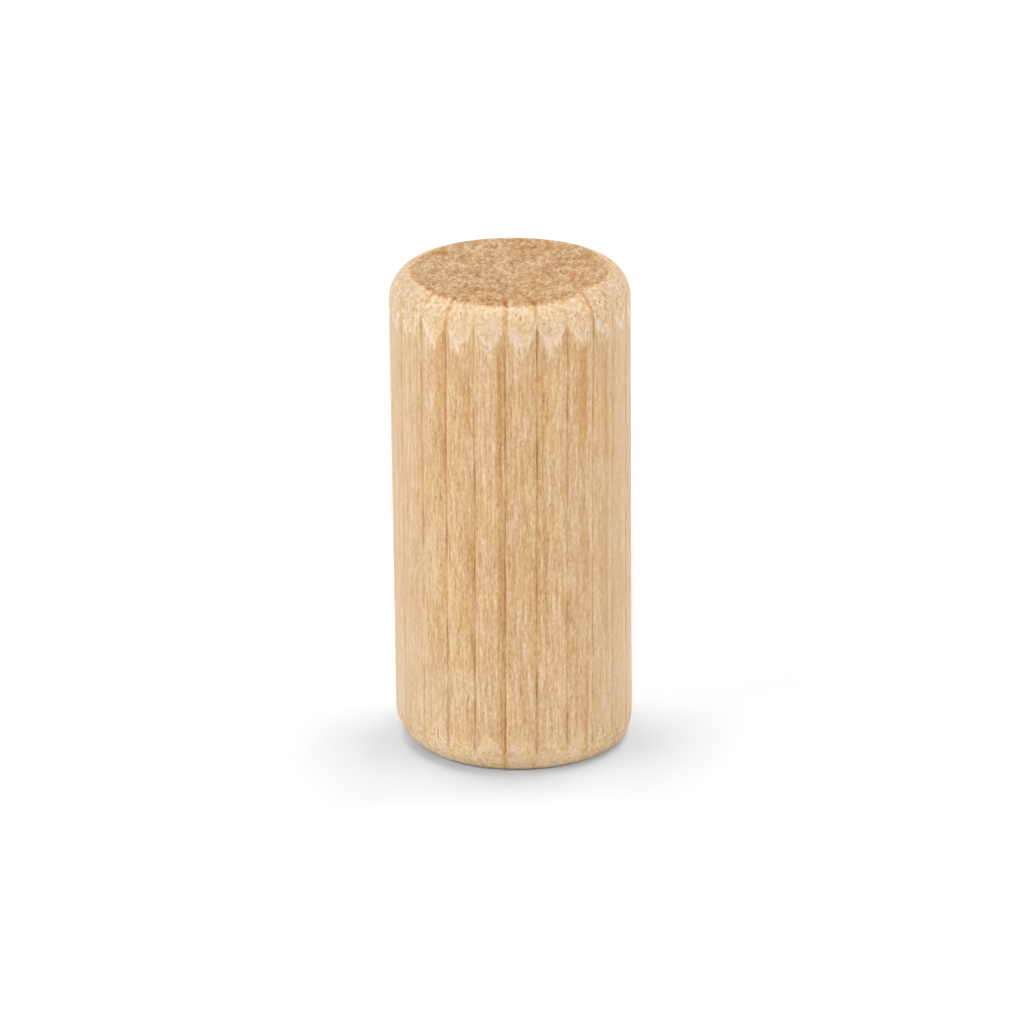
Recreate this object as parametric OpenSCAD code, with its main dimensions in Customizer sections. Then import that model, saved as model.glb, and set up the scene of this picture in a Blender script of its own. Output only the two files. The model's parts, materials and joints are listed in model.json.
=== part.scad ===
// Fluted wood plug: a short round peg of straight-grained hardwood. It stands on
// one sawn end, with its axis and its grain along +Z. Sizes are in millimetres.

/* [Body] */
// Diameter over the lands
body_d = 10; // [8:0.1:16]
// Length from one sawn end to the other
body_len = 20.5; // [10:0.5:60]

/* [Flutes] */
// Number of flutes round the body
flute_count = 24; // [16:1:28]
// Depth from the lands to the line where two neighbouring lands meet
flute_depth = 0.06; // [0.03:0.01:0.25]
// Width of the strip of the turned blank that is left along each land
land_w = 0.5; // [0.2:0.05:0.6]
// Depth of the sharp root that the fluting tooth leaves below the meeting line
root_depth = 0.05; // [0.02:0.01:0.2]
// Included angle of the root
root_angle = 60; // [30:5:80]

/* [Ends] */
// How far the rim of each sawn end stands in from the lands
rim_setback = 0.65; // [0.3:0.01:1]
// Radius of the rounded shoulder between the rim and the lands
shoulder_r = 1.9; // [1.2:0.1:3]

/* [Hidden] */
$fn = 96;

// How far the shoulder's arc bulges past the lands, so that it cuts them cleanly
shoulder_lead = 0.01;
// Stock round the lands in the blank that the shoulders are turned on
blank_spare = 0.5;

body_r = body_d / 2;
flute_pitch = 360 / flute_count;

// Each land is crowned by one circle, centred on the middle line of the land. It
// passes through the edge of the strip and through the meeting line of the lands.
meet_r = body_r - flute_depth;
strip_edge = [sqrt(body_r ^ 2 - (land_w / 2) ^ 2), land_w / 2];
meet_edge = [meet_r * cos(flute_pitch / 2), meet_r * sin(flute_pitch / 2)];
crown_at = (body_r ^ 2 - meet_r ^ 2) / (2 * (strip_edge.x - meet_edge.x));
crown_r = norm(strip_edge - [crown_at, 0]);

// The core fills the middle, out to where neighbouring crowns overlap most
core_r = crown_at * cos(flute_pitch / 2);

// The shoulder's arc runs from the rim to where it leaves the lands
rim_r = body_r - rim_setback;
shoulder_at = body_r + shoulder_lead - shoulder_r;
shoulder_h = sqrt(shoulder_r ^ 2 - (rim_r - shoulder_at) ^ 2);

// One land's rounded crown, as a circle in the section
module land_crown() {
    translate([crown_at, 0])
        circle(r = crown_r);
}

// The tooth that cuts the sharp root between two lands
module root_tooth() {
    reach = root_depth + flute_depth + blank_spare;
    half_w = reach * tan(root_angle / 2);
    translate([meet_r - root_depth, 0])
        polygon([[0, 0], [reach, -half_w], [reach, half_w]]);
}

// The section across the grain: crowned lands with a sharp root between each pair
module fluted_section() {
    difference() {
        intersection() {
            circle(r = body_r);
            union() {
                circle(r = core_r);
                for (i = [0 : flute_count - 1])
                    rotate((i + 0.5) * flute_pitch)
                        land_crown();
            }
        }
        for (i = [0 : flute_count - 1])
            rotate(i * flute_pitch)
                root_tooth();
    }
}

// What the end cutter takes off the top corner of the blank, in half section
module shoulder_waste() {
    translate([shoulder_at, body_len - shoulder_h])
        difference() {
            square([shoulder_r + 2 * blank_spare, shoulder_h + blank_spare]);
            circle(r = shoulder_r);
        }
}

// The blank with both shoulders turned on it, before it is fluted
module turned_blank() {
    rotate_extrude()
        difference() {
            square([body_r + blank_spare, body_len]);
            shoulder_waste();
            translate([0, body_len])
                mirror([0, 1])
                    shoulder_waste();
        }
}

// The whole plug: where each flute runs out on a shoulder, the crowns of the lands
// leave a scalloped edge
module plug() {
    color("burlywood")
        intersection() {
            linear_extrude(height = body_len)
                fluted_section();
            turned_blank();
        }
}

plug();
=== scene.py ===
# %% [markdown]
# # A fluted wood plug
#
# The object is one piece of pale, straight-grained hardwood: a short round peg with
# shallow straight flutes along its body, a rounded shoulder at each end and two sawn
# ends. It is driven into a drilled hole, where the flutes let the air and the spare
# glue out. This lesson turns the plug the way a lathe would, presses the flutes into
# it, and then finishes it as solid wood, so that the grain on the sides and the end
# grain belong to the same stick.

# %% Load the frame
import json
import math
from types import SimpleNamespace

import bmesh
import bpy
from mathutils import Matrix, Vector, noise


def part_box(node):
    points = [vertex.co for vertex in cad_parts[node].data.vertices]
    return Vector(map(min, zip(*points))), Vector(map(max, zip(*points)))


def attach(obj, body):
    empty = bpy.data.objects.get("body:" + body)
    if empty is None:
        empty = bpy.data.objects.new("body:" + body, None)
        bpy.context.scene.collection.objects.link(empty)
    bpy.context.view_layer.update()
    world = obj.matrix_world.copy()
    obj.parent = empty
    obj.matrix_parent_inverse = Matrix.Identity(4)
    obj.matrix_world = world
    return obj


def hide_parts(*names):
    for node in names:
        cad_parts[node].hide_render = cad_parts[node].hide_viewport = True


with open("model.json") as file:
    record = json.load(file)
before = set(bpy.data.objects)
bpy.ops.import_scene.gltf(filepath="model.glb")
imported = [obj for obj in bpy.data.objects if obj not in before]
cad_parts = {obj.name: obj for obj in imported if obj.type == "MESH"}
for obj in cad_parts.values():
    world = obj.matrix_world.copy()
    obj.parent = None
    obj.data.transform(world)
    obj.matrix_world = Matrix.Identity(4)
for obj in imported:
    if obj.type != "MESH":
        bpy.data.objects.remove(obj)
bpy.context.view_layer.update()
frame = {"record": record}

# %% [markdown]
# ## Sizes
#
# The frame says how long the plug is and how wide it is over its lands, which are the
# ridges left between the flutes. The other sizes are the ones that a maker would set
# on the fluting machine and on the cutter that rounds the ends.

# %% Sizes of the plug
MM = 0.001
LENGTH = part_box("plug")[1].z
BODY = next(m for m in frame["record"]["mounts"] if m["name"] == "fluted_body")
LAND_R = BODY["dims"]["r_mm"] * MM

FLUTES = 24
FLUTE_DEPTH = 0.048 * MM
STRIP_WIDTH = 0.26 * MM
ROOT_DEPTH = 0.0315 * MM
ROOT_WIDTH = 0.12 * MM
PITCH = math.tau / FLUTES
print(f"length {LENGTH / MM:.1f} mm, diameter {2 * LAND_R / MM:.1f} mm, {FLUTES} flutes")

# %% [markdown]
# ## The blank
#
# A plug starts as a turned stick, so the mesh starts as a lathe would see it: half of
# the outline, spun round the axis. A ready-made cylinder would do as well, but its
# rings would be evenly spaced. Here the outline is cut finely where the shoulders will
# be, because the flutes run out there, and coarsely along the body, where little
# changes. A short stretch at each rim gets cuts of its own, because wear has rounded
# it. Every flute gets the same number of columns.

# %% Spin the blank
COLUMNS = FLUTES * 20
RIM_ROUND = 0.12 * MM
SHOULDER_ZONE = 1.75 * MM
FACE_CUTS = 12
RIM_CUTS = 5
SHOULDER_CUTS = 36
BODY_CUTS = 52
TOUCHING = 0.001 * MM


def spin_blank():
    """Spins half of a straight stick's outline into a closed blank."""
    bm = bmesh.new()
    lower = [(0, 0), (LAND_R, 0), (LAND_R, RIM_ROUND), (LAND_R, SHOULDER_ZONE)]
    upper = [(x, LENGTH - z) for x, z in reversed(lower)]
    points = [bm.verts.new((x, 0, z)) for x, z in lower + upper]
    edges = [bm.edges.new(pair) for pair in zip(points, points[1:])]
    end_cuts = (FACE_CUTS, RIM_CUTS, SHOULDER_CUTS)
    for edge, cuts in zip(edges, (*end_cuts, BODY_CUTS, *reversed(end_cuts))):
        bmesh.ops.subdivide_edges(bm, edges=[edge], cuts=cuts, use_grid_fill=False)
    turn = {"cent": (0, 0, 0), "axis": (0, 0, 1), "angle": math.tau, "steps": COLUMNS}
    bmesh.ops.spin(bm, geom=bm.verts[:] + bm.edges[:], use_merge=True, **turn)
    bmesh.ops.remove_doubles(bm, verts=bm.verts[:], dist=TOUCHING)
    bmesh.ops.recalc_face_normals(bm, faces=bm.faces[:])
    return bm


blank = spin_blank()
print("blank:", len(blank.verts), "points,", len(blank.faces), "faces")

# %% [markdown]
# ## The shoulders
#
# The cutter that rounds the ends isn't perfectly true. The upper shoulder is even, and
# the lower one is cut deeper on one side. Each shoulder is described by its setback,
# which is how far it stands in from the lands at the rim, and by its height. A power
# of the distance from the end gives an edge that leaves the lands softly and is
# steepest at the rim. A bevel could round the ends too, but then the flutes would have
# to be pressed into its faces, and this way one formula serves both.

# %% Outline of the shoulders
UPPER_SETBACK = 0.65 * MM
UPPER_HEIGHT = 1.55 * MM
UPPER_POWER = 3.1
LOWER_SETBACK = 0.475 * MM
LOWER_HEIGHT = 1.3 * MM
LOWER_POWER = 2.2
LOWER_LEAN = 0.27 * MM
LOWER_STRETCH = 0.16 * MM
LEAN_ANGLE = math.radians(219)


def shoulder_outline(angle, upper):
    """Setback at the rim, height and power of one shoulder at an angle."""
    if upper:
        return UPPER_SETBACK, UPPER_HEIGHT, UPPER_POWER
    side = math.cos(angle - LEAN_ANGLE)
    height = LOWER_HEIGHT + LOWER_STRETCH * side
    return LOWER_SETBACK + LOWER_LEAN * side, height, LOWER_POWER


def from_end(z):
    """Distance from the nearer sawn end."""
    return min(z, LENGTH - z)


def shoulder_radius(angle, z):
    """Radius of the turned blank at an angle and a height."""
    setback, height, power = shoulder_outline(angle, z > LENGTH / 2)
    worn = max(0.0, 1 - from_end(z) / RIM_ROUND)
    rounding = RIM_ROUND * (1 - math.sqrt(1 - worn * worn))
    return LAND_R - setback * max(0.0, 1 - from_end(z) / height) ** power - rounding


for z in (0, 0.5 * MM, 1.0 * MM, LENGTH - 1.0 * MM, LENGTH):
    print(f"height {z / MM:5.1f} mm: radius {shoulder_radius(0, z) / MM:.3f} mm")

# %% [markdown]
# ## Where a flute runs out
#
# A flute ends where the shoulder has been turned away as deep as the flute. The middle
# of a land is hardly pressed, so the turned surface reaches far along it, and a root is
# deep, so the turned surface stops nearer the rim. That is what makes the scallops. The
# gap says how far along the grain a point lies from its own run-out. It is below 0 on
# the turned shoulder and above 0 on the fluted side.

# %% Run-out of a flute
def run_out_gap(angle, z, depth):
    """Distance along the grain from where a flute of some depth runs out."""
    setback, height, power = shoulder_outline(angle, z > LENGTH / 2)
    return from_end(z) - height * (1 - (depth / setback) ** (1 / power))


for depth in (FLUTE_DEPTH / 10, FLUTE_DEPTH, FLUTE_DEPTH + ROOT_DEPTH):
    ends_at = -run_out_gap(0, LENGTH, depth)
    print(f"{depth / MM:.3f} mm deep: runs out {ends_at / MM:.2f} mm from the end")

# %% [markdown]
# ## The flutes
#
# A fluting wheel presses sharp roots into the stick, and the wood between two roots
# swells into a low crown. One circle makes each crown: it passes through the edge of
# the strip that stays on the turned surface, and through the line where neighbouring
# crowns meet.

# %% Section of a land
MEET_R = LAND_R - FLUTE_DEPTH
STRIP_X = math.sqrt(LAND_R**2 - (STRIP_WIDTH / 2) ** 2)
CROWN_AT = (LAND_R**2 - MEET_R**2) / (2 * (STRIP_X - MEET_R * math.cos(PITCH / 2)))
CROWN_R = math.hypot(STRIP_X - CROWN_AT, STRIP_WIDTH / 2)


def crown_depth(from_middle):
    """How far a crown stands in from the lands, at an angle from its middle."""
    across = CROWN_AT * math.sin(from_middle)
    radius = CROWN_AT * math.cos(from_middle) + math.sqrt(CROWN_R**2 - across**2)
    return max(0.0, LAND_R - radius)


print(f"crown circle: radius {CROWN_R / MM:.2f} mm, {CROWN_AT / MM:.2f} mm off the axis")
print(f"crowns meet {crown_depth(PITCH / 2) / MM:.3f} mm below the lands")

# %% [markdown]
# ## Uneven roots
#
# A wheel never runs quite true, and wood springs back by different amounts. The roots
# of a real plug turn a little along its length, are not evenly spaced, and are not all
# as deep. Smooth noise would do all of that by chance. Here each root has its own stray
# and its own share of the depth, so that a maker can set them, some places are pressed
# deeper, and noise only adds the last small changes.

# %% How the roots stray
TWIST = math.radians(0.105) / MM
ROOT_WANDER = math.radians(0.22)
WANDER_LENGTH = 5 * MM
# Degrees that each root strays sideways, counted round the plug from its +X side.
STRAY = (0.2, 0.0, -0.3, -0.1, 0.3, 0.5, 0.1, -0.2, -0.4, 0.0, 0.3, 0.1,
         -0.3, -0.7, -1.0, 0.8, 0.75, 0.3, 0.05, 0.1, 0.45, 0.3, -0.5, 0.3)


def root_offset(number, z):
    """How far one root strays sideways at a height, as an angle."""
    place = Vector((7.3 * (number % FLUTES), 1.7, z / WANDER_LENGTH))
    stray = math.radians(STRAY[number % FLUTES]) + TWIST * (z - LENGTH / 2)
    return stray + ROOT_WANDER * noise.noise(place)


for z in (0, LENGTH):
    degrees = math.degrees(root_offset(18, z))
    print(f"root 18 at height {z / MM:.1f} mm: {degrees:.2f} degrees")

# %% How deep the roots are
SPREAD_LENGTH = 1.5 * MM
DEPTH_SPREAD = 1.1
LEAST_SPREAD = 0.25
# Share of the set depth that each root has, counted in the same way.
SHARE = (0.9, 1.1, 0.8, 1.0, 1.2, 0.7, 0.9, 1.1, 1.0, 0.8, 1.2, 0.9,
         1.0, 0.8, 0.5, 0.75, 0.75, 0.95, 0.95, 0.85, 0.8, 0.65, 0.5, 0.8)
# Root, height and reach in mm, and the share that is added there.
DEEP_PLACES = (
    (18, 15.0, 0.9, 1.0),
    (18, 12.2, 1.0, 0.3),
    (18, 2.4, 2.6, 0.5),
    (19, 14.0, 0.8, 1.1),
    (19, 19.0, 0.7, 1.0),
    (19, 4.0, 1.0, 0.4),
    (17, 12.6, 1.3, 0.4),
    (17, 8.0, 0.8, 0.4),
    (16, 18.7, 1.0, 0.7),
    (15, 17.0, 0.7, 0.6),
    (20, 16.0, 0.8, 0.7),
)


def root_scale(number, z):
    """How deep one root is at a height, as a share of the set depth."""
    place = Vector((5.9 * (number % FLUTES), 4.1, z / SPREAD_LENGTH))
    spread = max(LEAST_SPREAD, 1 + DEPTH_SPREAD * noise.noise(place))
    share = SHARE[number % FLUTES] * spread
    for deep, height, reach, extra in DEEP_PLACES:
        if deep == number % FLUTES:
            share += extra * max(0.0, 1 - ((z / MM - height) / reach) ** 2)
    return share


print(f"root 18 halfway up: {root_scale(18, LENGTH / 2):.2f} of the set depth")

# %% [markdown]
# ## Depth of a flute
#
# The depth at a point is the crown's and the root's together. A place between two roots
# is given as a share: 0 at one root, 0.5 on the middle of the land, and 1 at the next
# root. The root is a plain V, because the wheel's edge is sharp.

# %% Depth from one root to the next
def nearer_root(share, number):
    """Number of the root that is nearer to a place between two."""
    return number if share < 0.5 else number + 1


def root_distance(share):
    """Distance across the surface to the nearer root."""
    return min(share, 1 - share) * PITCH * LAND_R


def nick_share(share):
    """1 on the line of a root, falling evenly to 0 at the edge of its V."""
    return max(0.0, 1 - root_distance(share) / (ROOT_WIDTH / 2))


def flute_depth(share, number, z):
    """Depth below the lands at a share of the way from one root to the next."""
    nearest = nearer_root(share, number)
    crown = crown_depth(PITCH / 2 - min(share, 1 - share) * PITCH)
    nick = ROOT_DEPTH * nick_share(share)
    return crown * SHARE[nearest % FLUTES] + nick * root_scale(nearest, z)


for share in (0.0, 0.25, 0.5):
    print(f"share {share:.2f}: {flute_depth(share, 18, LENGTH / 2) / MM:.3f} mm deep")

# %% [markdown]
# ## Roughness
#
# Tools leave nothing perfectly smooth. One noise function gives every small unevenness,
# each with its own size and its own seed. A second helper takes the smaller of two radii
# and rounds the corner between them over a few hundredths of a millimetre, as wear does
# where a flute meets the shoulder.

# %% Noise and soft edges
NOISE_SEED = Vector((3.1, 7.7, 1.9))
SOFT_EDGE = 0.012 * MM


def wobble(point, size, seed=0.0):
    """Smooth noise between about -1 and 1, with features of the given size."""
    return noise.noise(point / size + NOISE_SEED * (1 + seed))


def soft_smaller(a, b, width):
    """The smaller of two lengths, rounded where they are nearly equal."""
    share = min(1.0, max(0.0, 0.5 + 0.5 * (b - a) / width))
    return b + (a - b) * share - width * share * (1 - share)


print(f"two equal radii blend {-soft_smaller(0.0, 0.0, SOFT_EDGE) / MM:.3f} mm lower")

# %% [markdown]
# ## Shape the blank
#
# One pass over the blank's points does what the machine does. Each point keeps its
# height. Its column is moved towards the nearest root, so that the sharp roots get more
# points, and its radius becomes the smaller of the shoulder's and the land's. Moving
# points keeps the clean rings and columns of the spin, where cutting the flutes out as
# solids would leave long thin faces.

# %% A point on the side
CROWDING = 0.65
SHOULDER_ROUGH = 0.006 * MM
SHOULDER_GRAIN = 0.3 * MM
UNEVEN = 0.006 * MM
UNEVEN_GRAIN = 1.1 * MM
COUNT_SLACK = 1e-6


def crowd(point):
    """The root before a point, the point's share of the way on, and its new angle."""
    turn = math.atan2(point.y, point.x) % math.tau / PITCH
    number = int(turn + COUNT_SLACK)
    share = max(0.0, turn - number)
    share -= CROWDING * math.sin(math.tau * share) / math.tau
    before, after = root_offset(number, point.z), root_offset(number + 1, point.z)
    offset = (1 - share) * before + share * after
    return number, share, (number + share) * PITCH + offset


def side_radius(angle, z, depth):
    """Radius of the shaped side, where a flute of some depth meets the shoulder."""
    spot = Vector((math.cos(angle) * LAND_R, math.sin(angle) * LAND_R, z))
    shoulder = shoulder_radius(angle, z)
    if shoulder < LAND_R:
        shoulder += SHOULDER_ROUGH * wobble(spot, SHOULDER_GRAIN)
    radius = soft_smaller(shoulder, LAND_R - depth, SOFT_EDGE)
    return radius - UNEVEN * (1 + wobble(spot, UNEVEN_GRAIN, 1))


print(f"radius halfway up, at +X: {side_radius(0, LENGTH / 2, 0) / MM:.3f} mm")

# %% A point on a sawn end
FACE_ROUGH = 0.012 * MM
FACE_GRAIN = 0.7 * MM
FACE_EDGE_POWER = 8


def shape_face(point):
    """New place of a point on a sawn end."""
    angle = math.atan2(point.y, point.x)
    radius = math.hypot(point.x, point.y)
    inside = 1 - (radius / LAND_R) ** FACE_EDGE_POWER
    dip = FACE_ROUGH * (1 + wobble(point, FACE_GRAIN, 2)) * inside
    height = dip if point.z < LENGTH / 2 else LENGTH - dip
    scale = shoulder_radius(angle, point.z) / LAND_R
    return Vector((point.x * scale, point.y * scale, height))


print(f"middle of the upper end: {shape_face(Vector((0, 0, LENGTH))).z / MM:.3f} mm")

# %% [markdown]
# While a point is moved, the pass also writes down what the finish will need: how deep
# in a root's V it lies (root), how far it lies from the run-out (gap), how strongly the
# wheel's edge has bruised the shoulder above a root (press), and how near it is to the
# middle of a land (crown). They are stored on the mesh's points. Vertex groups or vertex
# colours could hold them too, but those are cut off at 0 and 1.

# %% Press the flutes and turn the shoulders
LEAST_DEPTH = 0.0005 * MM
PRESS_WIDTH = 0.17 * MM
LIGHT_PRESS = 0.25
PRESSED = {15: 0.8, 16: 0.9, 18: 1.1, 19: 0.6, 21: 0.8}
SIDE_NOTES = ("root", "gap", "press", "crown")


def side_notes(number, share, angle, z, depth):
    """The notes of a point on the side, in the order of SIDE_NOTES."""
    nearest = nearer_root(share, number)
    root = nick_share(share) * root_scale(nearest, z)
    gap = run_out_gap(angle, z, max(depth, LEAST_DEPTH)) / MM
    press = max(0.0, 1 - root_distance(share) / PRESS_WIDTH)
    return root, gap, press * PRESSED.get(nearest, LIGHT_PRESS), math.sin(math.pi * share)


def shape_side(point):
    """New place of a point on the side, and its notes."""
    number, share, angle = crowd(point)
    depth = flute_depth(share, number, point.z)
    radius = side_radius(angle, point.z, depth)
    place = Vector((math.cos(angle) * radius, math.sin(angle) * radius, point.z))
    return place, side_notes(number, share, angle, point.z, depth)


def shape_plug(bm):
    """Shapes every point of the blank and writes the notes of its side."""
    layers = [bm.verts.layers.float.new(name) for name in SIDE_NOTES]
    for vert in bm.verts:
        at = vert.co.copy()
        if math.hypot(at.x, at.y) > LAND_R - TOUCHING:
            vert.co, notes = shape_side(at)
            for layer, note in zip(layers, notes):
                vert[layer] = note
        else:
            vert.co = shape_face(at)


shape_plug(blank)
print("shaped", len(blank.verts), "points")

# %% [markdown]
# ## Where the growth rings are dark
#
# A year's late wood isn't equally dark all the way up a stick: it comes and goes, as the
# cut passes in and out of it. Each patch below is an ellipse on the slice through the
# tree, and its strength fades towards its edge. The strength is noted on the points,
# with their distance from the rim, so that the finish can tell sawn from turned wood.

# %% Note the rim and the dark rings
RING_AXIS = math.radians(3.5)
RING_EVERYWHERE = 0.15
# Place across the rings and half width in mm, height and reach in mm, and strength.
RING_PATCHES = (
    (-2.85, 0.5, 16.0, 4.2, 1.0),
    (-2.80, 0.5, 9.0, 2.5, 0.3),
    (-1.80, 0.5, 7.5, 3.6, 0.9),
    (-1.80, 0.4, 16.3, 1.5, 0.6),
    (-0.45, 0.5, 15.5, 4.0, 1.1),
    (-0.45, 0.5, 8.5, 3.5, 0.8),
    (-0.45, 0.5, 2.0, 2.5, 0.9),
    (1.33, 0.5, 17.0, 3.0, 0.7),
    (1.00, 0.5, 4.5, 2.0, 0.5),
    (3.00, 0.5, 16.6, 2.6, 1.2),
    (3.00, 0.5, 9.0, 2.0, 0.6),
    (3.00, 0.5, 2.8, 2.4, 1.1),
    (3.90, 0.4, 16.0, 3.0, 1.0),
    (4.05, 0.4, 8.5, 4.0, 0.5),
    (-3.90, 0.5, 12.5, 5.0, 0.5),
    (-4.40, 0.4, 2.5, 1.8, 0.7),
)
RIM_BAND = 0.02
ON_FACE = -1.0


def ring_strength(point):
    """How strongly the late wood is coloured at a point of the stick."""
    across = (point.x * math.cos(RING_AXIS) + point.y * math.sin(RING_AXIS)) / MM
    total = RING_EVERYWHERE
    for middle, half, height, reach, strength in RING_PATCHES:
        off = ((across - middle) / half) ** 2 + ((point.z / MM - height) / reach) ** 2
        total += strength * max(0.0, 1 - off * off)
    return total


def note_places(bm):
    """Notes the distance from the rim, inwards as minus, and the ring strength."""
    gaps = bm.verts.layers.float["gap"]
    rims = bm.verts.layers.float.new("rim")
    rings = bm.verts.layers.float.new("ring")
    for vert in bm.verts:
        angle = math.atan2(vert.co.y, vert.co.x)
        end = 0.0 if vert.co.z < LENGTH / 2 else LENGTH
        inside = shoulder_radius(angle, end) - math.hypot(vert.co.x, vert.co.y)
        rim = (from_end(vert.co.z) - max(0.0, inside)) / MM
        vert[rims] = rim
        vert[rings] = ring_strength(vert.co)
        if rim < RIM_BAND:
            vert[gaps] = ON_FACE


note_places(blank)
print("notes:", ", ".join(blank.verts.layers.float.keys()))

# %% [markdown]
# ## From mesh to object
#
# The finished mesh becomes one object at the origin, with smooth shading. It has two
# material slots, one for the side with its shoulders and one for the level sawn ends,
# because lifted fibres give the side a faint sheen that a sawn end doesn't have. It
# rides on the plug's body and stands for the frame's own solid.

# %% Make the plug an object
SIDE_SLOT, END_SLOT = 0, 1
LEVEL = 0.7


def show(name, data):
    """Puts a mesh, a lamp or a camera in the scene, as an object."""
    made = bpy.data.objects.new(name, data)
    bpy.context.scene.collection.objects.link(made)
    return made


def show_mesh(name, bm):
    """Puts a worked mesh in the scene."""
    mesh = bpy.data.meshes.new(name)
    bm.to_mesh(mesh)
    bm.free()
    return show(name, mesh)


def finish_mesh(bm, name):
    """Smooths the shading, picks the slots and returns the finished object."""
    bmesh.ops.recalc_face_normals(bm, faces=bm.faces[:])
    face_r = LAND_R - UPPER_SETBACK - 0.5 * RIM_ROUND
    for face in bm.faces:
        face.smooth = True
        inner = min(math.hypot(v.co.x, v.co.y) for v in face.verts)
        sawn = abs(face.normal.z) > LEVEL and inner < face_r
        face.material_index = END_SLOT if sawn else SIDE_SLOT
    return show_mesh(name, bm)


plug = finish_mesh(blank, "fluted_plug")
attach(plug, "root")
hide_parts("plug")
triangles = sum(len(p.vertices) - 2 for p in plug.data.polygons)
print("plug:", triangles, "triangles")

# %% [markdown]
# ## Tools for the finish
#
# The finish is built from shader nodes. In the editor they are dragged in and wired up
# by hand, and in code a few small helpers keep that readable. The first adds a node and
# fills its inputs, with a plain value or with a link from another node.

# %% Node helpers
def fill(tree, node, values):
    """Fills a node's inputs with plain values or with links."""
    for key, value in values.items():
        if isinstance(value, bpy.types.NodeSocket):
            tree.links.new(value, node.inputs[key])
        else:
            node.inputs[key].default_value = value


def add(tree, kind, values=None, **settings):
    """Adds a node, sets its properties and fills its inputs."""
    made = tree.nodes.new("ShaderNode" + kind)
    for key, value in settings.items():
        setattr(made, key, value)
    fill(tree, made, values or {})
    return made


def maths(tree, operation, first, second=0.0, third=0.0, clamp=False):
    """One arithmetic node; returns its output."""
    values = {0: first, 1: second, 2: third}
    return add(tree, "Math", values, operation=operation, use_clamp=clamp).outputs[0]


def fade(tree, value, low, high):
    """Maps a value smoothly from 0 at low to 1 at high."""
    ends = {"Value": value, "From Min": low, "From Max": high}
    return add(tree, "MapRange", ends, interpolation_type="SMOOTHSTEP").outputs["Result"]


def opposite(tree, value):
    """One minus a value."""
    return maths(tree, "SUBTRACT", 1.0, value)


def both(tree, first, *others):
    """Multiplies masks with one another."""
    for other in others:
        first = maths(tree, "MULTIPLY", first, other)
    return first


print("helpers: fill, add, maths, fade, opposite, both")

# %% [markdown]
# A node group is a node that a maker builds once, with named sockets, and then places
# wherever it is needed with other values. The next two helpers open a group and place
# one.

# %% Node groups
def group(name, inputs, outputs):
    """Opens a node group with named sockets; returns its tree and its two ends."""
    tree = bpy.data.node_groups.new(name, "ShaderNodeTree")
    add_socket = tree.interface.new_socket
    for socket, kind, value in inputs:
        made = add_socket(socket, in_out="INPUT", socket_type="NodeSocket" + kind)
        if value is not None:
            made.default_value = value
    for socket, kind in outputs:
        add_socket(socket, in_out="OUTPUT", socket_type="NodeSocket" + kind)
    return tree, tree.nodes.new("NodeGroupInput"), tree.nodes.new("NodeGroupOutput")


def use(tree, name, values):
    """Places a node group in a tree and fills its inputs."""
    made = tree.nodes.new("ShaderNodeGroup")
    made.node_tree = bpy.data.node_groups[name]
    fill(tree, made, values)
    return made


def close(tree, end, values):
    """Fills the outputs of a group and prints how many nodes it has."""
    fill(tree, end, values)
    print(f"group: {tree.name}, {len(tree.nodes)} nodes")


print("helpers: group, use, close")

# %% [markdown]
# ## Wood, as solid as the stick
#
# Wood is a solid pattern, so every group works on the place inside the stick, in
# millimetres. A flat picture wrapped round the plug would show a seam, and its lines
# wouldn't meet those of the sawn ends. The first group stretches the place along the
# grain: noise read with a small width and a larger length gives fibres and streaks.

# %% Group: noise stretched along the grain
CELL_SOCKETS = (
    ("Place", "Vector", None),
    ("Width", "Float", 0.1),
    ("Length", "Float", 1.0),
    ("Shift", "Float", 0.0),
    ("Stretch", "Float", 1.0),
)


def cell_place(tree, start):
    """Place in the stick, counted in cells of a group's width and length."""
    width = maths(tree, "DIVIDE", 1.0, start.outputs["Width"])
    depth = maths(tree, "DIVIDE", width, start.outputs["Stretch"])
    along = maths(tree, "DIVIDE", 1.0, start.outputs["Length"])
    scale = add(tree, "CombineXYZ", {"X": width, "Y": depth, "Z": along})
    ends = {0: start.outputs["Place"], 1: start.outputs["Shift"]}
    moved = add(tree, "VectorMath", ends, operation="ADD")
    ends = {0: moved.outputs[0], 1: scale.outputs[0]}
    return add(tree, "VectorMath", ends, operation="MULTIPLY").outputs[0]


def build_grain():
    inputs = (*CELL_SOCKETS, ("Detail", "Float", 1.0))
    tree, start, end = group("grain noise", inputs, (("Value", "Float"),))
    place = cell_place(tree, start)
    values = {"Vector": place, "Scale": 1.0, "Detail": start.outputs["Detail"]}
    cloud = add(tree, "TexNoise", values)
    close(tree, end, {"Value": cloud.outputs["Fac"]})


def grain(tree, place, width, length, detail, shift, stretch=1.0):
    """Places the stretched noise in a tree; returns its value."""
    sizes = {"Width": width, "Length": length, "Stretch": stretch}
    values = {"Place": place, **sizes, "Detail": detail, "Shift": shift}
    return use(tree, "grain noise", values).outputs[0]


build_grain()

# %% [markdown]
# ## Growth rings
#
# The growth rings are wide for a plug this small, so only a few cross it. Their centre
# lies well outside it, which makes them nearly straight bands. Each year's ring darkens
# slowly and ends at a sharp line, behind which the pale early wood of the next year
# begins. A wave texture would make the bands evenly wide, so a colour ramp across the
# stick holds each ring's own place instead, and noise bends them a little.

# %% Group: growth rings
RING_SPAN = 5.0
PLAIN_WOOD = 0.5
PALE_WOOD = 0.72
BEFORE_EDGE, AFTER_EDGE = 0.05, 0.04
LATE_GAIN, EARLY_GAIN = 2.0, 4.5
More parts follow.
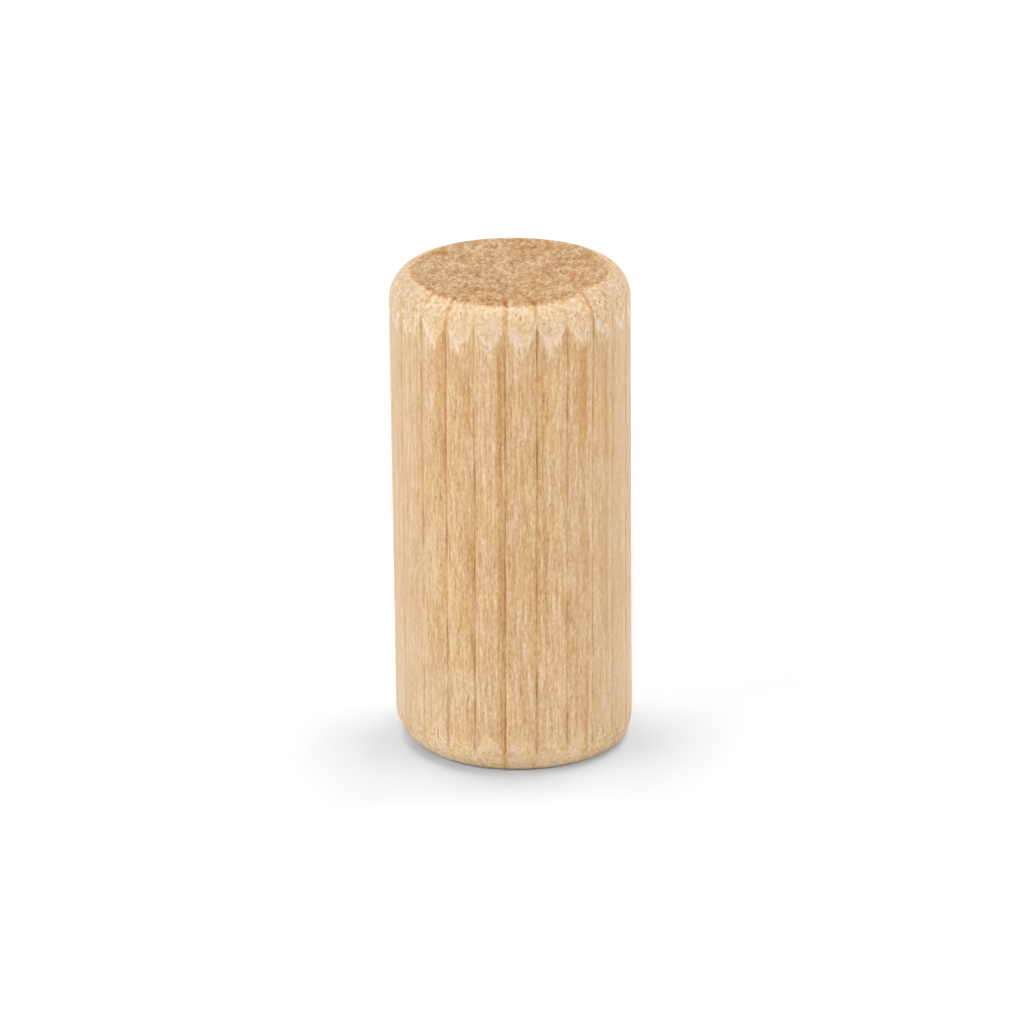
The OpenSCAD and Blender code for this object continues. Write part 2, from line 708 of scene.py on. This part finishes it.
# Place of the sharp edge and width of the late wood in mm, and strength.
RINGS = (
    (-4.30, 0.35, 0.6),
    (-3.72, 0.40, 0.7),
    (-2.66, 0.48, 1.0),
    (-1.64, 0.42, 0.9),
    (-0.31, 0.36, 1.0),
    (1.40, 0.22, 0.6),
    (3.14, 0.38, 1.0),
    (3.97, 0.32, 1.0),
    (4.55, 0.30, 0.6),
)


def across_rings(tree, start):
    """Distance across the rings, bent by slow noise, as 0 to 1 over the span."""
    spot = add(tree, "SeparateXYZ", {0: start.outputs["Place"]}).outputs
    across = maths(tree, "MULTIPLY", spot["X"], math.cos(RING_AXIS))
    across = maths(tree, "MULTIPLY_ADD", spot["Y"], math.sin(RING_AXIS), across)
    bend = grain(tree, start.outputs["Place"], 1.5, 6.0, 2.0, 0.0)
    bend = maths(tree, "SUBTRACT", bend, 0.5)
    across = maths(tree, "MULTIPLY_ADD", bend, start.outputs["Drift"], across)
    return maths(tree, "MULTIPLY_ADD", across, 0.5 / RING_SPAN, 0.5)


def colour_ramp(tree, value, stops):
    """A colour ramp through stops of a place and a colour; returns its colour."""
    ramp = add(tree, "ValToRGB", {"Fac": value})
    elements = ramp.color_ramp.elements
    while len(elements) < len(stops):
        elements.new(0.5)
    for element, (place, colour) in zip(elements, stops):
        element.position = place
        element.color = (*colour, 1.0)
    return ramp.outputs["Color"]


def ring_ramp(tree, across):
    """Ramp that is darker in late wood and paler in early wood than plain wood."""
    stops = [(-RING_SPAN, PLAIN_WOOD)]
    for edge, width, strength in RINGS:
        stops.append((edge - width, PLAIN_WOOD))
        stops.append((edge - BEFORE_EDGE, PLAIN_WOOD - strength / 2))
        stops.append((edge + AFTER_EDGE, PALE_WOOD))
    greys = [(0.5 + edge * 0.5 / RING_SPAN, (value,) * 3) for edge, value in stops]
    return colour_ramp(tree, across, greys)


def build_rings():
    inputs = (("Place", "Vector", None), ("Drift", "Float", 0.3))
    outputs = (("Late Wood", "Float"), ("Early Wood", "Float"))
    tree, start, end = group("growth rings", inputs, outputs)
    value = ring_ramp(tree, across_rings(tree, start))
    late = maths(tree, "SUBTRACT", PLAIN_WOOD, value, clamp=True)
    early = maths(tree, "SUBTRACT", value, PLAIN_WOOD, clamp=True)
    late = maths(tree, "MULTIPLY", late, LATE_GAIN)
    early = maths(tree, "MULTIPLY", early, EARLY_GAIN)
    close(tree, end, {"Late Wood": late, "Early Wood": early})


build_rings()

# %% [markdown]
# ## Curls and vessels
#
# Where wood is cut across, a blade leaves curled fibre ends, and the vessels that
# carried the sap show as small bores with pale walls. A curl is a thin line where noise
# passes through its middle value. A vessel is a cell of a Voronoi texture, long along
# the grain.

# %% Group: curls
def build_curls():
    inputs = (*CELL_SOCKETS, ("Line", "Float", 0.05))
    tree, start, end = group("curls", inputs, (("Value", "Float"),))
    values = {row[0]: start.outputs[row[0]] for row in CELL_SOCKETS}
    cloud = use(tree, "grain noise", {**values, "Detail": 1.0})
    off = maths(tree, "ABSOLUTE", maths(tree, "SUBTRACT", cloud.outputs[0], 0.5))
    share = maths(tree, "DIVIDE", off, start.outputs["Line"])
    close(tree, end, {"Value": maths(tree, "SUBTRACT", 1.0, share, clamp=True)})


build_curls()

# %% Group: vessels
BORE_EDGE = (0.10, 0.18)
WALL_INSIDE = (0.16, 0.22)
WALL_OUTSIDE = (0.26, 0.36)


def build_vessels():
    outputs = (("Bore", "Float"), ("Wall", "Float"))
    tree, start, end = group("vessels", CELL_SOCKETS, outputs)
    place = cell_place(tree, start)
    cells = add(tree, "TexVoronoi", {"Vector": place, "Scale": 1.0})
    off = cells.outputs["Distance"]
    bore = opposite(tree, fade(tree, off, *BORE_EDGE))
    outside = opposite(tree, fade(tree, off, *WALL_OUTSIDE))
    wall = both(tree, fade(tree, off, *WALL_INSIDE), outside)
    close(tree, end, {"Bore": bore, "Wall": wall})


build_vessels()

# %% [markdown]
# ## Tone
#
# How pale or dark the wood is at a point is one number, the tone. It is a sum: each
# layer of fibres, flecks or pores is centred on its own middle, weighed, and added.
# Keeping brightness in one number and colour in another step makes both easy to set.

# %% Adding layers of tone
def weigh(tree, base, parts):
    """Adds weighted parts, each centred on its own middle, to a base tone."""
    total = base
    for value, middle, weight in parts:
        centred = maths(tree, "SUBTRACT", value, middle)
        total = maths(tree, "MULTIPLY_ADD", centred, weight, total)
    return total


def noise_layers(tree, place, rows):
    """Parts for weigh, from rows of width, length, detail, shift and weight."""
    return [(grain(tree, place, *row[:4]), 0.5, row[4]) for row in rows]


def radial_cut(tree, place):
    """How nearly the surface is cut along the radius of the tree, from 0 to 1."""
    parts = add(tree, "SeparateXYZ", {0: place}).outputs
    flat = add(tree, "CombineXYZ", {"X": parts["X"], "Y": parts["Y"]})
    unit = add(tree, "VectorMath", {0: flat.outputs[0]}, operation="NORMALIZE")
    depth = add(tree, "SeparateXYZ", {0: unit.outputs[0]}).outputs["Y"]
    return fade(tree, maths(tree, "ABSOLUTE", depth), 0.45, 0.95)


PLAIN_TONE = 0.6
print("plain tone:", PLAIN_TONE)

# %% [markdown]
# On the fluted side the knife and the wheel run along the grain, so it shows long fibres
# of several widths, with short pale and dark flecks where single fibres stand up or are
# torn out. They show most where the surface lies along the radius of the tree.

# %% Tone of the long grain
# Width, length, detail, shift and weight of each layer of fibres, in mm.
LONG_FIBRES = (
    (0.3, 5.0, 1.0, 40.0, 0.45),
    (0.14, 1.9, 0.0, 26.0, 0.36),
    (0.075, 1.8, 0.0, 29.0, 0.42),
    (0.12, 0.85, 0.0, 49.0, 0.36),
    (0.06, 0.65, 0.0, 34.0, 0.5),
    (1.6, 3.5, 1.0, 90.0, 0.1),
    (0.13, 0.24, 0.0, 0.0, 0.38),
    (0.05, 0.13, 0.0, 55.0, 0.46),
)
# Width, length and shift of each kind of fleck, its edges, its middle and its weight.
FLECKS = (
    (0.085, 0.25, 6.0, 0.35, 0.65, 0.5, 0.15),
    (0.08, 0.3, 61.0, 0.6, 0.68, 0.1, 0.16),
    (0.075, 0.35, 13.0, 0.62, 0.7, 0.1, -0.2),
)
EARLY_WEIGHT = 0.05
SIDE_SHOW, RADIAL_SHOW = 0.40, 0.36


def fluted_tone(tree, place, rings):
    """Tone of the long grain on the lands."""
    parts = [(rings.outputs["Early Wood"], 0.5, EARLY_WEIGHT)]
    parts += noise_layers(tree, place, LONG_FIBRES)
    for width, length, shift, low, high, middle, weight in FLECKS:
        fleck = grain(tree, place, width, length, 1.0, shift)
        parts.append((fade(tree, fleck, low, high), middle, weight))
    seen = radial_cut(tree, place)
    seen = maths(tree, "MULTIPLY_ADD", seen, RADIAL_SHOW, SIDE_SHOW)
    return maths(tree, "MULTIPLY_ADD", weigh(tree, 0.0, parts), seen, PLAIN_TONE)


print("long grain:", len(LONG_FIBRES), "layers of fibres,", len(FLECKS), "of flecks")

# %% [markdown]
# On the shoulders the fibres are cut across at a slant. They end there in short specks
# and curls, and the vessels open as bores. Slow patches make that texture stronger here
# and weaker there.

# %% Tone of the turned shoulders
TURNED_SPECKS = (
    (0.17, 0.2, 0.0, 5.0, 0.55),
    (0.09, 0.12, 1.0, 8.0, 0.65),
)
TURNED_CLOUDS = ((0.5, 0.7, 1.0, 14.0, 0.25),)
TURNED_PATCHES = (0.6, 0.9, 1.0, 17.0)
TURNED_CURLS = {"Width": 0.28, "Length": 0.3, "Line": 0.035}
TURNED_VESSELS = {"Width": 0.34, "Length": 3.0}
TURNED_PALER = 0.2


def turned_tone(tree, place):
    """Tone of the shoulders."""
    vessels = use(tree, "vessels", {"Place": place, **TURNED_VESSELS})
    curl = use(tree, "curls", {"Place": place, **TURNED_CURLS})
    fine = weigh(tree, 0.0, (
        *noise_layers(tree, place, TURNED_SPECKS),
        (curl.outputs[0], 0.1, 0.35),
        (vessels.outputs["Bore"], 0.1, -0.4),
        (vessels.outputs["Wall"], 0.2, 0.15),
    ))
    patches = fade(tree, grain(tree, place, *TURNED_PATCHES), -0.1, 0.6)
    parts = noise_layers(tree, place, TURNED_CLOUDS)
    parts.append((both(tree, fine, patches), 0.0, 1.0))
    base = radial_cut(tree, place)
    base = maths(tree, "MULTIPLY_ADD", base, TURNED_PALER, PLAIN_TONE)
    return weigh(tree, base, parts)


print("shoulders:", len(TURNED_SPECKS), "layers of specks")

# %% [markdown]
# A saw drags its teeth one way over the end, so the torn fibre ends lie in short tufts
# along that way. Their layers and curls are stretched by the same share.

# %% Tone of the sawn ends
SAW_DRAG = 2.2
# Width, detail, shift and weight of each layer of torn fibre ends.
TORN_ENDS = (
    (0.6, 1.0, 11.0, 0.36),
    (0.24, 0.0, 31.0, 0.5),
    (0.12, 1.0, 25.0, 0.85),
    (0.07, 0.0, 3.0, 0.45),
)
FINE_CURLS = {"Width": 0.28, "Length": 1.0, "Stretch": SAW_DRAG, "Line": 0.035}
COARSE_CURLS = {"Width": 0.5, "Length": 1.0, "Stretch": 2.0, "Line": 0.022, "Shift": 8.0}
SAWN_VESSELS = {"Width": 0.3, "Length": 3.0, "Stretch": 1.8}


def end_tone(tree, place):
    """Tone of a sawn end."""
    parts = []
    for width, detail, shift, weight in TORN_ENDS:
        layer = grain(tree, place, width, 1.0, detail, shift, SAW_DRAG)
        parts.append((layer, 0.5, weight))
    fine = use(tree, "curls", {"Place": place, **FINE_CURLS})
    coarse = use(tree, "curls", {"Place": place, **COARSE_CURLS})
    vessels = use(tree, "vessels", {"Place": place, **SAWN_VESSELS})
    parts.append((fine.outputs[0], 0.15, 0.5))
    parts.append((coarse.outputs[0], 0.1, 0.38))
    parts.append((vessels.outputs["Bore"], 0.1, -0.2))
    return weigh(tree, PLAIN_TONE, parts)


print("sawn ends:", len(TORN_ENDS), "layers of torn fibre ends")

# %% [markdown]
# ## From tone to colour
#
# The ramp holds what the dry wood reflects: brown where it is late wood or where dust
# has gathered, honey where it is sound, and cream where fibres have been lifted. The
# tone picks a colour from it. Tints then multiply that colour where a mask says so. A
# tint can be warmer or cooler without being darker, which a ramp alone can't do.

# %% Ramp and tints
RAMP = (
    (0.00, (0.336, 0.159, 0.057)),
    (0.15, (0.461, 0.241, 0.097)),
    (0.30, (0.564, 0.326, 0.148)),
    (0.45, (0.649, 0.408, 0.205)),
    (0.60, (0.715, 0.480, 0.261)),
    (0.72, (0.777, 0.546, 0.323)),
    (0.85, (0.831, 0.617, 0.393)),
    (1.00, (0.896, 0.704, 0.496)),
)


def blend(tree, amount, first, second, data_type="FLOAT", **settings):
    """Mixes two values or colours; the amount is the second one's share."""
    values = {"Factor": amount, "A": first, "B": second}
    return add(tree, "Mix", values, data_type=data_type, **settings).outputs["Result"]


def tint(tree, colour, amount, shade):
    """Multiplies a colour by a shade, as much as the amount says."""
    settings = {"data_type": "RGBA", "blend_type": "MULTIPLY", "clamp_factor": True}
    return blend(tree, amount, colour, (*shade, 1.0), **settings)


print("ramp:", len(RAMP), "colours")

# %% [markdown]
# ## Which tool left the surface
#
# The notes on the mesh say where each surface begins, but a line through them would be
# too clean. Torn fibres fray it, so noise is added to the gap and to the rim before they
# become masks. The border of each scallop is drawn a little further along the middle of
# its land, where the pressed wood has sprung back against the cutter.

# %% Masks
FRAY = (0.12, 0.2, 2.0, 77.0)
GAP_FRAY, RIM_FRAY, RIM_LEAN = 0.5, 0.22, 0.22
SCALLOP = 0.26


def find_masks(tree, start):
    """Masks for the surface that each tool left and for places on the stick."""
    place = start.outputs["Place"]
    spot = add(tree, "SeparateXYZ", {0: place}).outputs
    fray = maths(tree, "SUBTRACT", grain(tree, place, *FRAY), 0.5)
    gap = maths(tree, "MULTIPLY_ADD", fray, GAP_FRAY, start.outputs["Gap"])
    gap = maths(tree, "MULTIPLY_ADD", start.outputs["Crown"], -SCALLOP, gap)
    fluted = fade(tree, gap, -0.1, 0.22)
    # side_on also places the painted flank sheen among the tints.
    side_on = opposite(tree, radial_cut(tree, place))
    rim = maths(tree, "MULTIPLY_ADD", fray, RIM_FRAY, start.outputs["Rim"])
    rim = maths(tree, "MULTIPLY_ADD", side_on, RIM_LEAN, rim)
    sawn = opposite(tree, fade(tree, rim, 0.02, 0.16))
    return SimpleNamespace(
        gap=gap,
        side_on=side_on,
        fluted=fluted,
        turned=opposite(tree, fluted),
        sawn=sawn,
        unsawn=opposite(tree, sawn),
        high=fade(tree, spot["Z"], 15.0, 17.0),
        low=opposite(tree, fade(tree, spot["Z"], 2.0, 3.0)),
        foot=opposite(tree, fade(tree, spot["Z"], 1.5, 7.0)),
        front=opposite(tree, fade(tree, spot["Y"], -2.6, -0.6)),
        # Mask that grows from 0 at -X to 1 towards +X.
        plus_x_warmth=fade(tree, spot["X"], -5.0, 1.0),
    )


print("scallops reach", SCALLOP, "mm further along the middle of a land")

# %% [markdown]
# Just below the upper run-out the wheel has lifted loose fibres, and they look pale. The
# fringe is that band: near the run-out, on the middle of each land, and broken into
# small patches.

# %% Fringe and tone of the whole stick
FRINGE_PATCHES = (0.14, 0.4, 2.0, 33.0)
TURNED_HIGH, TURNED_LOW, EDGE_HIGH = 0.025, 0.01, 0.08
FRINGE_PALER, FOOT_PALER = 0.34, 0.07


def find_fringe(tree, start, at):
    """Mask of the lifted fibres below the upper run-out."""
    above = fade(tree, at.gap, -0.4, 0.0)
    below = opposite(tree, fade(tree, at.gap, 0.1, 0.7))
    middle = fade(tree, start.outputs["Crown"], 0.2, 0.7)
    cloud = grain(tree, start.outputs["Place"], *FRINGE_PATCHES)
    return both(tree, below, above, middle, fade(tree, cloud, 0.38, 0.62), at.high)


def whole_tone(tree, start, at, rings, fringe):
    """Tone of the stick, whichever tool has left its surface."""
    place = start.outputs["Place"]
    long_grain = fluted_tone(tree, place, rings)
    tone = blend(tree, at.fluted, turned_tone(tree, place), long_grain)
    edge = opposite(tree, fade(tree, maths(tree, "ABSOLUTE", at.gap), 0.03, 0.12))
    tone = weigh(tree, tone, (
        (both(tree, at.turned, at.high), 0.0, TURNED_HIGH),
        (both(tree, edge, at.high), 0.0, EDGE_HIGH),
        (fringe, 0.0, FRINGE_PALER),
        (both(tree, at.turned, at.low), 0.0, TURNED_LOW),
        (both(tree, at.fluted, at.foot), 0.0, FOOT_PALER),
    ))
    return blend(tree, at.sawn, tone, end_tone(tree, place))


print("fringe paler by", FRINGE_PALER, "of the ramp")

# %% [markdown]
# ## Stains, hues and painted light
#
# Handled wood is never one hue. The wheel's edge has bruised the shoulders above the
# roots, the saw has soiled the ends, and patches of pink, olive, honey and amber run
# through the wood itself. Two tints are painted light rather than the wood's own colour: a
# darker, browner painted shade along the root creases, and a paler, cooler painted sheen
# on the flanks at ±X. Each tint below has its shade, and some come in patches.

# %% Shades and patches
SHADES = {
    "late wood": (0.90, 0.76, 0.57),
    # Painted shade: darker, browner colour along the root creases, where shade falls.
    "painted root shade": (0.84, 0.69, 0.52),
    "bruise": (0.80, 0.62, 0.42),
    "saw stain": (0.88, 0.74, 0.55),
    "saw dirt": (0.745, 0.713, 0.667),
    # Painted sheen: paler and cooler on the flanks at ±X, where light grazes the sides.
    "painted flank sheen": (0.92, 0.97, 1.06),
    "rim stain": (0.90, 0.74, 0.53),
    "pink": (0.99, 0.965, 1.01),
    "olive": (0.98, 0.985, 0.91),
    "honey": (0.997, 0.957, 0.87),
    "amber": (1.0, 0.965, 0.88),
    "turned": (1.0, 1.01, 1.06),
    "fringe": (0.985, 1.0, 1.07),
    # Warmer colour towards +X, paler and cooler towards -X.
    "plus_x_warmth": (1.0, 0.97, 0.93),
}
# Width, length, detail, shift and stretch of the noise, and the edges of its patches.
PATCHES = {
    "bruise": (0.8, 0.5, 2.0, 71.0, 1.0, 0.25, 0.6),
    "saw stain": (0.7, 3.0, 2.0, 46.0, 1.5, 0.5, 0.72),
    "rim stain": (0.45, 1.0, 1.0, 63.0, 1.5, 0.46, 0.6),
    "pink": (0.35, 1.8, 1.0, 52.0, 1.0, 0.45, 0.65),
    "olive": (0.4, 2.0, 1.0, 58.0, 1.0, 0.45, 0.65),
    "honey": (0.45, 3.2, 1.0, 71.0, 1.0, 0.48, 0.66),
    "amber": (0.26, 0.3, 1.0, 83.0, 1.0, 0.45, 0.65),
}


def find_patches(tree, place):
    """The mask of each kind of patch."""
    rows = PATCHES.items()
    return {name: fade(tree, grain(tree, place, *row[:5]), *row[5:]) for name, row in rows}


print(len(SHADES), "tints,", len(PATCHES), "of them in patches")

# %% [markdown]
# The last group puts it all together. It takes the place and the notes, and it gives
# back the colour and a fine rise for the bump.

# %% Group: hardwood
NOTES = ("Root", "Gap", "Press", "Crown", "Rim", "Ring")
FAINT_BELOW = 0.6
FINE_RISE = (0.085, 0.3, 2.0, 0.0)


def tint_amounts(tree, start, at, rings, fringe):
    """How much of each tint there is, in the order in which they are laid on."""
    patch = find_patches(tree, start.outputs["Place"])
    late = both(tree, rings.outputs["Late Wood"], start.outputs["Ring"])
    bruise = both(tree, fade(tree, start.outputs["Press"], 0.0, 0.7), at.turned)
    fainter = maths(tree, "MULTIPLY_ADD", at.low, -FAINT_BELOW, 1.0)
    by_rim = both(tree, at.sawn, fade(tree, start.outputs["Rim"], -0.9, -0.2))
    return {
        "late wood": both(tree, late, at.unsawn),
        # Painted shade along the root creases.
        "painted root shade": both(tree, start.outputs["Root"], at.fluted),
        "bruise": both(tree, bruise, patch["bruise"], fainter),
        "saw stain": both(tree, patch["saw stain"], at.sawn),
        "saw dirt": at.sawn,
        # Painted sheen on the flanks that lie side on to the rings.
        "painted flank sheen": both(tree, at.side_on, at.unsawn),
        "rim stain": both(tree, by_rim, patch["rim stain"], at.front),
        "pink": patch["pink"],
        "olive": patch["olive"],
        "honey": both(tree, patch["honey"], at.unsawn),
        "amber": both(tree, patch["amber"], at.turned),
        "turned": both(tree, at.turned, at.high),
        "fringe": fringe,
        # Warmer colour towards +X.
        "plus_x_warmth": at.plus_x_warmth,
    }


def build_hardwood():
    notes = [(name, "Float", 0.0) for name in NOTES]
    inputs = (("Place", "Vector", None), *notes)
    outputs = (("Color", "Color"), ("Rise", "Float"))
    tree, start, end = group("hardwood", inputs, outputs)
    place = start.outputs["Place"]
    rings = use(tree, "growth rings", {"Place": place})
    at = find_masks(tree, start)
    fringe = find_fringe(tree, start, at)
    colour = colour_ramp(tree, whole_tone(tree, start, at, rings, fringe), RAMP)
    for name, amount in tint_amounts(tree, start, at, rings, fringe).items():
        colour = tint(tree, colour, amount, SHADES[name])
    close(tree, end, {"Color": colour, "Rise": grain(tree, place, *FINE_RISE)})


build_hardwood()

# %% [markdown]
# ## The two finishes
#
# Side and sawn ends are the same wood, so both materials place the same group. They feed
# it the place in the stick and the notes on the mesh, and they differ only in roughness
# and sheen. The shader, the bump and one more step stay in the material: that step
# greys the colour for light that has already bounced, because the wood would otherwise
# tint the white paper beside it.

# %% Finish: side grain and sawn ends
LOW_GLOSS = 0.35
SHEEN_ROUGHNESS = 0.4
GREYED = 0.95
RISE_HEIGHT = 0.02 * MM
RISE_STRENGTH = 0.7


def new_finish(name):
    """A material with its Principled shader, and that material's tree."""
    material = bpy.data.materials.new(name)
    material.use_nodes = True
    tree = material.node_tree
    shader = tree.nodes["Principled BSDF"]
    shader.inputs["Specular IOR Level"].default_value = LOW_GLOSS
    return material, tree, shader


def stick_place(tree):
    """Place in the stick, in millimetres, from the piece's own coordinates."""
    values = {0: add(tree, "TexCoord").outputs["Object"], "Scale": 1 / MM}
    return add(tree, "VectorMath", values, operation="SCALE").outputs[0]


def noted(tree, name):
    """A value that the mesh notes at each of its points."""
    return add(tree, "Attribute", attribute_name=name).outputs["Fac"]


def neutral_bounce(tree, colour):
    """Greys the colour for light that has already bounced off something dull."""
    bounced = add(tree, "LightPath").outputs["Is Diffuse Ray"]
    grey = add(tree, "RGBToBW", {0: colour}).outputs[0]
    amount = maths(tree, "MULTIPLY", bounced, GREYED)
    return blend(tree, amount, colour, grey, "RGBA")


def solid_wood(name, roughness, sheen):
    """A material of the stick's own wood."""
    material, tree, shader = new_finish(name)
    notes = {note: noted(tree, note.lower()) for note in NOTES}
    wood = use(tree, "hardwood", {"Place": stick_place(tree), **notes})
    rise = {"Height": wood.outputs["Rise"]}
    bump = add(tree, "Bump", {**rise, "Distance": RISE_HEIGHT, "Strength": RISE_STRENGTH})
    fill(tree, shader, {
        "Base Color": neutral_bounce(tree, wood.outputs["Color"]),
        "Normal": bump.outputs["Normal"],
        "Roughness": roughness,
        "Sheen Weight": sheen,
        "Sheen Roughness": SHEEN_ROUGHNESS,
    })
    return material


plug.data.materials.append(solid_wood("side_grain", 0.65, 0.15))
plug.data.materials.append(solid_wood("end_grain", 0.8, 0.0))
print("plug's materials:", [m.name for m in plug.data.materials])

# %% [markdown]
# ## The floor
#
# The plug stands on plain pale paper. One level sheet is enough, because a curved backdrop
# would only show where the camera looks past it, and the world's own white does that.

# %% Floor
FLOOR_SIZE = 1.6
PAPER = (0.9, 0.9, 0.9)
PAPER_ROUGHNESS = 0.9


def make_floor():
    """A level sheet of paper under the plug."""
    bm = bmesh.new()
    bmesh.ops.create_grid(bm, x_segments=2, y_segments=2, size=FLOOR_SIZE / 2)
    made = show_mesh("floor", bm)
    material, tree, shader = new_finish("floor_paper")
    fill(tree, shader, {"Base Color": (*PAPER, 1.0), "Roughness": PAPER_ROUGHNESS})
    made.data.materials.append(material)
    return made


floor = make_floor()
print("floor:", [round(side, 2) for side in floor.dimensions[:2]], "metres")

# %% [markdown]
# ## Light
#
# A studio lights pale wood softly, but not equally from all sides, or it would look
# flat. Lamps of the sun type count as endlessly far away, so they light the whole floor
# evenly where an area lamp would leave a pool. A wide angle makes their shadows soft.
# Two stand high, two behind, and two low ones shape the sides. The world fills in what
# is left, and the camera sees it as white.

# %% Studio light
FILL_LIGHT = 0.21
LAMP_DISTANCE = 0.5
# Name, azimuth, height and width in degrees, and strength.
LAMPS = (
    ("high_right", 33, 78, 20, 0.65),
    ("high_left", 147, 78, 20, 0.65),
    ("back_right", 51, 50, 40, 0.70),
    ("back_left", 135, 50, 40, 0.54),
    ("left", 205, 20, 50, 1.68),
    ("right", -19, 20, 50, 1.30),
)


def set_world(strength):
    """Dim light from all around, and white where the camera looks past the floor."""
    world = bpy.data.worlds.new("studio")
    bpy.context.scene.world = world
    world.use_nodes = True
    tree = world.node_tree
    around = tree.nodes["Background"]
    fill(tree, around, {"Color": (1, 1, 1, 1), "Strength": strength})
    backdrop = add(tree, "Background", {"Color": (1, 1, 1, 1), "Strength": 1.0})
    seen = add(tree, "LightPath").outputs["Is Camera Ray"]
    ends = {0: seen, 1: around.outputs[0], 2: backdrop.outputs[0]}
    mixed = add(tree, "MixShader", ends)
    fill(tree, tree.nodes["World Output"], {"Surface": mixed.outputs[0]})


def far_light(name, azimuth, height, width, strength):
    """A soft light so far away that it lights the whole floor evenly."""
    lamp = bpy.data.lights.new(name, "SUN")
    lamp.angle = math.radians(width)
    lamp.energy = strength
    made = show(name, lamp)
    turn, tilt = math.radians(azimuth), math.radians(height)
    flat = math.cos(tilt)
    towards = Vector((math.cos(turn) * flat, math.sin(turn) * flat, math.sin(tilt)))
    made.location = towards * LAMP_DISTANCE
    made.rotation_euler = towards.to_track_quat("Z", "Y").to_euler()


set_world(FILL_LIGHT)
for row in LAMPS:
    far_light(*row)
print("lamps:", len(LAMPS), "with a total strength of", sum(row[-1] for row in LAMPS))

# %% [markdown]
# ## Camera
#
# A long lens from far away keeps the sides of a small thing nearly parallel. The camera
# stands in front, a little to one side and about twenty degrees up, so that the upper
# end shows as an ellipse. Its place is worked out from the middle of the plug, because
# three angles and a distance are easier to set exactly than a camera aimed by hand.

# %% Camera
IMAGE_SIDE = 1024
FOCAL_PIXELS = 5463
SENSOR = 36.0
NEAREST, FARTHEST = 0.01, 10
ELEVATION = math.radians(20.8)
TURN = math.radians(3.5)
ROLL = math.radians(0.61)
DISTANCE = 45.637 * LAND_R
RISE = 0.0760 * LAND_R


def make_camera():
    """A camera that looks at the middle of the plug."""
    data = bpy.data.cameras.new("camera")
    data.sensor_width = SENSOR
    data.lens = FOCAL_PIXELS / IMAGE_SIDE * SENSOR
    data.clip_start = NEAREST
    data.clip_end = FARTHEST
    made = show("camera", data)
    flat = math.cos(ELEVATION)
    ahead = Vector((-math.sin(TURN) * flat, math.cos(TURN) * flat, -math.sin(ELEVATION)))
    level = Vector((math.cos(TURN), math.sin(TURN), 0))
    upright = level.cross(ahead)
    right = level * math.cos(ROLL) - upright * math.sin(ROLL)
    up = level * math.sin(ROLL) + upright * math.cos(ROLL)
    place = Vector((0, 0, LENGTH / 2)) - ahead * DISTANCE - up * RISE
    turned = Matrix((right, up, -ahead)).transposed().to_4x4()
    made.matrix_world = Matrix.Translation(place) @ turned
    return made


bpy.context.scene.camera = make_camera()
bpy.context.scene.view_settings.view_transform = "Standard"
place = bpy.context.scene.camera.matrix_world.translation
print("camera at", [round(value, 4) for value in place])
